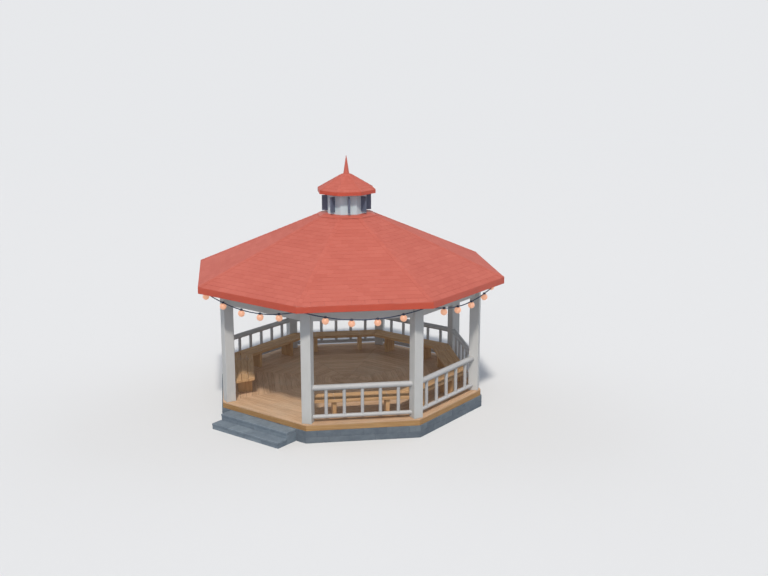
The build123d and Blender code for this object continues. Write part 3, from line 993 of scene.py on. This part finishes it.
top_level = DECK_TOP + TOP_RAIL_HEIGHT - TOP_RAIL_RADIUS
bottom_level = DECK_TOP + BOTTOM_RAIL_CENTRE
span = 2 * POST_RADIUS * sin(HALF_BAY)
baluster_places = span * (np.arange(1, BALUSTERS + 1) / (BALUSTERS + 1) - 0.5)
round_bars = [rail(TOP_RAIL_RADIUS, top_level), rail(BOTTOM_RAIL_RADIUS, bottom_level)]
round_bars += [baluster(place, bottom_level, top_level) for place in baluster_places]
for number, bay in enumerate(RAILED_BAYS, start=1):
    random = np.random.default_rng(60 + bay)
    faces, points, grains, start = [], [], [], 0
    for shape, grain in round_bars:
        faces += tube_faces(len(shape), ROUND_SIDES, start)
        points.append(shape.reshape(-1, 3))
        grains.append(grain.reshape(-1, 3) + random.uniform(-GRAIN_SHIFT, GRAIN_SHIFT, 3))
        start += len(points[-1])
    placed = turned(np.concatenate(points), BAY_ANGLES[bay])
    make_piece(f"railing_bars_{number}", f"railing_{number}", placed, faces, rail_white_painted_shade,
               np.concatenate(grains), smooth=True)
print("railings:", len(RAILED_BAYS), "with", BALUSTERS, "balusters each")

# %% [markdown]
# ## The roof's boarding
#
# Boards lie side by side over the rafters, from the curb out to the fascia, and their painted
# lower faces are the ceiling. Their edges are eased, so each joint is a small V-shaped groove.
# The boards are worked out in plan, and the roof's slope then lifts every point. Roofing felt
# covers them, and shows in the narrow gaps between the shingles. The fill lamps cast no shadow,
# so they would make the grooves glow, and light linking keeps them off the boards.

# %% Board the roof
CEILING_BOARDS = 27
CEILING_JOINT = 0.0004
CEILING_CHAMFER = 0.004


def over_roof(height):
    """Places bars whose v is the height above the slope that the height function gives."""
    def place(points):
        out, above, along = points[..., 0], points[..., 1], points[..., 2]
        return np.stack([out, -along, height(out) + above], axis=-1)
    return place


def keep_off(lamps, pieces):
    """Keeps the light of some lamps off some pieces."""
    spared = bpy.data.collections.new("spared")
    for piece in pieces:
        spared.objects.link(piece)
    for member in spared.collection_objects:
        member.light_linking.link_state = "EXCLUDE"
    for lamp in lamps:
        lamp.light_linking.receiver_collection = spared


joints = np.linspace(CURB_FLAT, fascia_back, CEILING_BOARDS + 1)
ceiling_section = rectangle(joints[:-1], joints[1:] - CEILING_JOINT, -PANEL_DEPTH, 0)
boarding = bars(ceiling_section, *mitres(), CEILING_CHAMFER)
ceilings = []
for bay, angle in enumerate(BAY_ANGLES):
    ceilings.append(bar_piece(f"roof_boards_{bay + 1}", f"roof_panel_{bay + 1}", boarding, white_ceiling,
                              100 + bay, over_roof(roof_height), [angle]))
keep_off(fill_lamps, ceilings)

# %% [markdown]
# ## The roof covering
#
# Shingles are laid in courses from the eave up. Each one is a thin wedge, thick at its lower
# edge, and long enough to lie under the next course and a little of the one after, so no joint
# lets water in. Courses break joint by half a tab. A shingle at a hip is cut along the hip line,
# which is a mitre line again. The roof's slope lifts the shingles as it lifts the boards.

# %% Lay the shingles
TAB_GAP = 0.004
HIP_GAP = 0.002
SHORTEST_TAB = 0.35
SHINGLE_OVERLAP = 2.1
STARTER_LIFT = 0.001
BUTT_THICKNESS = 0.0055
HEAD_THICKNESS = 0.0010
SHINGLE_CHAMFER = 0.0004


def shingle_courses(eave, head, courses, tab):
    """Wedges (out, above the roof) in courses, with joints one tab apart and shifted each course."""
    pitch = (eave - head) / courses
    laid = []
    for course in range(courses):
        butt = eave - pitch * course
        inner = max(butt - SHINGLE_OVERLAP * pitch, head)
        lift = BUTT_THICKNESS if course else STARTER_LIFT
        section = sections((inner, 0), (butt, lift), (butt, lift + BUTT_THICKNESS), (inner, HEAD_THICKNESS))
        room = inner * MITRE - SHORTEST_TAB * tab
        first = -tab * int(room / tab + 0.5) + (0.5 * tab if course % 2 else 0)
        joints = np.arange(first, room, tab)
        near, far = cut_planes(joints[np.abs(joints) < room], TAB_GAP, *mitres(HIP_GAP))
        laid.append(bars(section, near, far, SHINGLE_CHAMFER))
    return np.concatenate(laid)


EAVE_BACK = 0.004
CURB_BACK = 0.02
ROOF_COURSES = 24
ROOF_TAB = 0.30
courses = shingle_courses(EAVE_FLAT - EAVE_BACK, CURB_FLAT - CURB_BACK, ROOF_COURSES, ROOF_TAB)
for bay, angle in enumerate(BAY_ANGLES):
    bar_piece(f"roof_shingles_{bay + 1}", None, courses, roof_shingle, 70 + bay,
              over_roof(roof_height), [angle])

# %% [markdown]
# ## Hip caps
#
# Where two slopes meet, folded cap shingles straddle the hip and cover the cut ends. Each cap is
# two wings, one on either slope. A wing is a wedge along the hip, so it uses the corner's own
# frame: x runs out along the hip, and the slope falls away on both sides of it.

# %% Cap the hips
CAP_WING = 0.090
CAP_PITCH = 0.135
CAP_OVERLAP = 1.6
SHORTEST_CAP = 0.6
CAP_LIFT = 0.0075
CAP_TILT = 0.003
CAP_BUTT = 0.006
CAP_HEAD = 0.002
CAP_CHAMFER = 0.0006


def hip_caps(eave, head):
    """Both wings of each cap, from the eave up: wedges that are thick at their lower edge."""
    butts = np.arange(eave, head + SHORTEST_CAP * CAP_PITCH, -CAP_PITCH)
    inner = np.maximum(butts - CAP_OVERLAP * CAP_PITCH, head)
    low = CAP_LIFT + CAP_TILT
    section = sections((inner, CAP_LIFT), (butts, low), (butts, low + CAP_BUTT), (inner, CAP_LIFT + CAP_HEAD))
    left = bars(section, (0, 0, -CAP_WING), (0, 0, 0), CAP_CHAMFER)
    right = bars(section, (0, 0, 0), (0, 0, CAP_WING), CAP_CHAMFER)
    return np.concatenate([left, right])


def over_hip(height, eave):
    """Places bars along a hip: the slope is met at x cos + |y| sin out along its own bay, and
    what would stand out past the eave is trimmed back along it."""
    def place(points):
        out, above, along = points[..., 0], points[..., 1], points[..., 2]
        flat = out * TO_FLAT + np.abs(along) * sin(HALF_BAY)
        trimmed = np.minimum(flat, eave)
        out = out + (trimmed - flat) / TO_FLAT
        return np.stack([out, -along, height(trimmed) + above], axis=-1)
    return place


caps = hip_caps((EAVE_FLAT - EAVE_BACK) / TO_FLAT, CURB_FLAT / TO_FLAT)
over_roof_hip = over_hip(roof_height, EAVE_FLAT - EAVE_BACK)
bar_piece("roof_hip_caps", None, caps, roof_shingle, 80, over_roof_hip, CORNER_ANGLES)

# %% [markdown]
# ## The cupola
#
# The small tower on the roof lets warm air out. Its wall is upright boards, four to a side, with
# dark fins standing out from the middle of each side, and a little roof of its own with smaller
# shingles. A folded metal apron makes the joint where the wall rises through the main roof: it
# falls a little from the wall over the curb, and then lies on the heads of the shingles and caps.

# %% Board the drum and fold the apron
DRUM_BOARDS = 4
DRUM_WALL = 0.040
DRUM_CHAMFER = 0.0025
APRON_REACH = 0.70
APRON_SHEET = 0.003
APRON_ABOVE = 0.0195
APRON_FALL = 0.012
APRON_GAP = 0.001
APRON_CHAMFER = 0.0008
DRUM_FLAT = reach("cupola_drum")
DRUM_TOP = top("cupola_drum")

inner_flat = DRUM_FLAT - DRUM_WALL
edges = np.linspace(-1, 1, DRUM_BOARDS + 1) * MITRE
slopes = np.array([edges[0], *np.zeros(DRUM_BOARDS - 1), edges[-1]])
levels = edges * DRUM_FLAT
levels[[0, -1]] = 0
at_inner = levels + slopes * inner_flat
at_outer = levels + slopes * DRUM_FLAT
drum_section = sections((inner_flat, at_inner[:-1]), (DRUM_FLAT, at_outer[:-1]),
                        (DRUM_FLAT, at_outer[1:]), (inner_flat, at_inner[1:]))
drum = bars(drum_section, (0, 0, ROOF_TOP), (0, 0, DRUM_TOP), DRUM_CHAMFER)
bar_piece("cupola_drum_boards", "cupola_drum", drum, drum_white_against_bounce, 90, upright)

flat = np.array([DRUM_FLAT + APRON_GAP, CURB_FLAT, APRON_REACH])
under = np.array([ROOF_TOP + APRON_FALL, ROOF_TOP, roof_height(APRON_REACH)]) + APRON_ABOVE
over = under + APRON_SHEET
apron_section = sections((flat[:-1], under[:-1]), (flat[1:], under[1:]),
                         (flat[1:], over[1:]), (flat[:-1], over[:-1]))
apron = bars(apron_section, *mitres(), APRON_CHAMFER)
bar_piece("cupola_apron", None, apron, spire_red, 91)

# %% [markdown]
# The fins are thin slabs of slate-dark painted timber, held off the roof and the eave above.

# %% Stand the fins
FIN_THICKNESS = 0.045
FIN_REACH = 0.139
FIN_CHAMFER = 0.004
fin_dark = painted_timber("fin_paint", (83, 92, 109), (101, 109, 123), roughness=0.55)
fin_section = rectangle(DRUM_FLAT, DRUM_FLAT + FIN_REACH, -FIN_THICKNESS / 2, FIN_THICKNESS / 2)
fins = bars(fin_section, (0, 0, bottom("cupola_fins")), (0, 0, top("cupola_fins")), FIN_CHAMFER)
bar_piece("cupola_fin_slabs", "cupola_fins", fins, fin_dark, 92, upright)

# %% Shingle the cupola's roof
CUPOLA_SLOPE = tan(radians(31.7))
CUPOLA_EDGE = 0.081
CUPOLA_FLAT = reach("cupola_roof")
CUPOLA_COURSES = 7
CUPOLA_TAB = 0.15
CUPOLA_SEAT = 0.080
CUPOLA_CAP_HEAD = 0.12
CUPOLA_CAP_WIDTH = 0.5


def cupola_height(flat):
    """Height of the cupola roof's top face, a straight slope up from its edge."""
    return DRUM_TOP + CUPOLA_EDGE + (CUPOLA_FLAT - flat) * CUPOLA_SLOPE


small = shingle_courses(CUPOLA_FLAT - EAVE_BACK, CUPOLA_SEAT, CUPOLA_COURSES, CUPOLA_TAB)
bar_piece("cupola_shingles", None, small, roof_shingle, 93, over_roof(cupola_height))
small_caps = hip_caps((CUPOLA_FLAT - EAVE_BACK) / TO_FLAT, CUPOLA_CAP_HEAD)
small_caps[..., 2] *= CUPOLA_CAP_WIDTH
over_cupola_hip = over_hip(cupola_height, CUPOLA_FLAT - EAVE_BACK)
bar_piece("cupola_hip_caps", None, small_caps, roof_shingle, 94, over_cupola_hip, CORNER_ANGLES)

# %% [markdown]
# ## Turned pieces
#
# The spire and the lamps are turned shapes: a profile of (radius, height) points, carried round
# an axis. The first and the last point lie on the axis, and each becomes a single pole point, so
# the surface has no hole and no seam.

# %% A turned surface
def turned_surface(profile, sides):
    """Profile round the z axis: x = r cos t, y = r sin t, with one point for each pole."""
    radius, height = np.hsplit(np.asarray(profile, float), 2)
    x, y = circle(sides)
    rings = np.stack(np.broadcast_arrays(radius * x, radius * y, height), axis=2)
    foot, head = (0, 0, height[0, 0]), (0, 0, height[-1, 0])
    vertices = np.concatenate([[foot], rings[1:-1].reshape(-1, 3), [head]])
    here = 1 + np.arange(sides)
    after = np.roll(here, -1)
    last = sides * (len(profile) - 3)
    foot_faces = np.stack([after, here, 0 * here], axis=1)
    head_faces = np.stack([here + last, after + last, 0 * here + len(vertices) - 1], axis=1)
    return vertices, ring_quads(len(profile) - 2, sides, 1), np.concatenate([foot_faces, head_faces])


def turned_piece(name, node, profile, sides, places, material, angle=0):
    """The same turned shape at each of some places in a bay, smooth, as one piece."""
    vertices, quads, triangles = turned_surface(profile, sides)
    points = turned(vertices + np.asarray(places)[:, None], angle)
    starts = len(vertices) * np.arange(len(places))[:, None, None]
    faces = (quads + starts).reshape(-1, 4).tolist() + (triangles + starts).reshape(-1, 3).tolist()
    grain = np.tile(vertices, (len(places), 1))
    return make_piece(name, node, points, faces, material, grain, smooth=True)


SPIRE_RADIUS = 0.074
SPIRE_TIP = 0.006
SPIRE_RINGS = 14
SPIRE_SIDES = 40
TIP_TURN = 1.4
TIP_RINGS = 5
SPIRE_BASE = bottom("spire")
SPIRE_END = top("spire")
radii = np.linspace(SPIRE_RADIUS, SPIRE_TIP, SPIRE_RINGS)[:-1]
heights = np.linspace(SPIRE_BASE, SPIRE_END, SPIRE_RINGS)[:-1]
rounding = np.linspace(0, TIP_TURN, TIP_RINGS)
tip = [(SPIRE_TIP * cos(turn), SPIRE_END - SPIRE_TIP + SPIRE_TIP * sin(turn)) for turn in rounding]
spire = [(0, SPIRE_BASE), *zip(radii, heights), *tip, (0, SPIRE_END)]
turned_piece("spire_cone", "spire", spire, SPIRE_SIDES, [(0, 0, 0)], spire_red)
print("spire: from", round(SPIRE_BASE, 3), "to", round(SPIRE_END, 3))

# %% [markdown]
# ## Screws and bolts
#
# A deck board is screwed down to every joist it crosses, twice, and once more at each mitre. The
# benches' planks are bolted to their legs. Stainless heads like these are small turned shapes,
# and all of a kind are one piece, because a scene with two thousand objects would be slow.

# %% Drive the screws and bolts
JOIST_SPACING = 0.45
JOISTS_A_SIDE = 3
SCREW_RADIUS = 0.0045
SCREW_SIDES = 8
SCREW_EDGE = 0.030
SCREW_MITRE = 0.050
SCREW_CLEAR = 0.160
BOLT_RADIUS = 0.011
BOLT_SIDES = 20
BOLT_EDGE = 0.036


def stainless(name):
    """Brushed steel, dulled a little by the weather, darker where it has dulled most."""
    material, tree, world = new_finish(name, 0.35, metallic=1.0)
    dull = noise(tree, world, 60, 4.0, 0.6)
    brushed = noise(tree, world, (900, 900, 90), 2.0)
    tint = blended(tree, dull, (196, 196, 194), (140, 138, 134))
    surfaced(tree, tint, dull, (0.26, 0.5), brushed, depth=0.0001)
    return material


def screw_places():
    """Two screws across each board, over every joist that it crosses and near both its mitres."""
    x = np.concatenate([board_edges - SCREW_EDGE, board_edges - BOARD_WIDTH + SCREW_EDGE])
    over_joists = JOIST_SPACING * np.arange(-JOISTS_A_SIDE, JOISTS_A_SIDE + 1)
    joist_x, joist_y = np.meshgrid(x, over_joists, indexing="ij")
    clear = np.abs(joist_y) < joist_x * MITRE - SCREW_CLEAR
    near_mitre = x * MITRE - SCREW_MITRE
    x = np.concatenate([joist_x[clear], x, x])
    y = np.concatenate([joist_y[clear], near_mitre, -near_mitre])
    return np.column_stack([x, y, np.full(len(x), DECK_TOP)])


def bolt_places():
    """Two bolts through each plank into each leg."""
    x = np.concatenate([fronts + BOLT_EDGE, fronts + plank - BOLT_EDGE])
    bolt_x, bolt_y = np.meshgrid(x, leg_middles, indexing="ij")
    return np.column_stack([bolt_x.ravel(), bolt_y.ravel(), np.full(bolt_x.size, SEAT_TOP)])


steel = stainless("stainless_heads")
screw_head = [
    (0, -0.001),
    (SCREW_RADIUS, 0),
    (0.7 * SCREW_RADIUS, 0.0007),
    (0, 0.0009),
]
bolt_head = [
    (0, -0.001),
    (BOLT_RADIUS, 0),
    (0.92 * BOLT_RADIUS, 0.0018),
    (0.6 * BOLT_RADIUS, 0.0036),
    (0, 0.0044),
]
screws = everywhere(screw_places(), BAY_ANGLES)
bolts = everywhere(bolt_places(), BAY_ANGLES[RAILED_BAYS])
turned_piece("deck_screws", None, screw_head, SCREW_SIDES, screws, steel)
turned_piece("bench_bolts", None, bolt_head, BOLT_SIDES, bolts, steel)
print("screws:", len(screws), "bolts:", len(bolts))

# %% [markdown]
# ## The lamps
#
# Each lamp is a frosted globe under a ribbed rubber holder that is moulded round the cord. A lit
# globe glows softly and evenly, so a little of its colour is given as its own light.

# %% Lamp finishes
GLOBE_GLOW = 0.62


def lamp_glass(name, tint, swirls, glow):
    """Frosted warm glass with faint swirls, and a soft glow of its own."""
    material, tree, world = new_finish(name, 0.32)
    swirl = ranged(tree, noise(tree, world, 22), 0.35, 0.7, 0, 0.6)
    surfaced(tree, blended(tree, swirl, tint, swirls), None, None, noise(tree, world, 300, 2.0), depth=0.0003)
    inputs = tree.nodes["Principled BSDF"].inputs
    inputs["Emission Color"].default_value = colour(glow)
    inputs["Emission Strength"].default_value = GLOBE_GLOW
    inputs["Coat Weight"].default_value = 0.25
    return material


def rubber(name, tint, dusty):
    """Dark rubber with fine scuffs along it and a dull, uneven gloss."""
    material, tree, world = new_finish(name, 0.55)
    scuffs = noise(tree, world, 90, 4.0, 0.65)
    scuffed = blended(tree, ranged(tree, scuffs, 0.5, 0.75, 0, 0.6), tint, dusty)
    surfaced(tree, scuffed, scuffs, (0.45, 0.68), noise(tree, world, 600, 2.0), depth=0.0005)
    return material


globe_glass = lamp_glass("lamp_globe_glass", (140, 97, 75), (119, 83, 63), (255, 190, 154))
cord_rubber = rubber("cord_rubber", (38, 52, 78), (66, 78, 100))
holder_rubber = rubber("holder_rubber", (46, 54, 72), (74, 82, 98))
for cord in cords:
    cord.data.materials.append(cord_rubber)

# %% Hang the lamps
GLOBE_RADIUS = 0.080
GLOBE_DROP = 0.0863
GLOBE_SIDES = 28
NECK_RADIUS = 0.046
HOLDER_RADIUS = 0.035
HOLDER_TOP = 0.022
HOLDER_FOOT = -0.024
HOLDER_SIDES = 24
HOLDER_RIBS = 3
RIB_DEPTH = 0.0022
RIB_STEPS = 8

arc = np.linspace(-pi / 2, np.arccos(NECK_RADIUS / GLOBE_RADIUS), 22)[1:]
ball = [(GLOBE_RADIUS * cos(turn), GLOBE_RADIUS * sin(turn) - GLOBE_DROP) for turn in arc]
neck = [(0.044, HOLDER_FOOT + 0.004), (0.034, HOLDER_FOOT + 0.006)]
globe_profile = [(0, -GLOBE_DROP - GLOBE_RADIUS), *ball, *neck, (0, HOLDER_FOOT + 0.006)]

rib_heights = np.linspace(HOLDER_FOOT + 0.002, HOLDER_TOP - 0.008, RIB_STEPS * HOLDER_RIBS + 1)
rib_turns = np.linspace(0, 2 * pi * HOLDER_RIBS, len(rib_heights))
rib_radii = HOLDER_RADIUS - RIB_DEPTH * (1 - np.cos(rib_turns)) / 2
crown = [(HOLDER_RADIUS - 0.002, HOLDER_TOP - 0.004), (HOLDER_RADIUS - 0.008, HOLDER_TOP), (0, HOLDER_TOP)]
base = [(0, HOLDER_FOOT), (HOLDER_RADIUS - 0.002, HOLDER_FOOT)]
holder_profile = [*base, *zip(rib_radii, rib_heights), *crown]

lamp_places = [(swag[run] + swag[run + 1]) / 2 for run in LAMP_RUNS]
for bay, angle in enumerate(BAY_ANGLES):
    turned_piece(f"globes_{bay + 1}", "lamp_globes", globe_profile, GLOBE_SIDES, lamp_places,
                 globe_glass, angle)
    holders = turned_piece(f"holders_{bay + 1}", "lamp_holders", holder_profile, HOLDER_SIDES, lamp_places,
                           holder_rubber, angle)
    start = turned(swag[0], angle)
print("lamps:", len(lamp_places) * len(BAY_ANGLES))

# %% [markdown]
# ## Solids that stay
#
# The cupola's roof and the lights' clips already have their right shape, so they stay as they are
# and only get a finish. It reads Object coordinates, because these meshes carry no attributes.

# %% Finish the solids that stay
def finish_node(node, material):
    """Gives a CAD node its finish."""
    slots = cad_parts[node].data.materials
    slots.clear()
    slots.append(material)


cupola_red = painted_timber("cupola_red_paint", (187, 74, 50), (159, 63, 45), "object", (70, 70, 12))
finish_node("light_clips", white_frame)
finish_node("cupola_roof", cupola_red)

# %% [markdown]
# ## The view layer
#
# The view layer is brought up to date, because a curve that Blender hasn't worked out yet has a
# box that says nothing about its size.

# %% Bring the view layer up to date
bpy.context.view_layer.update()
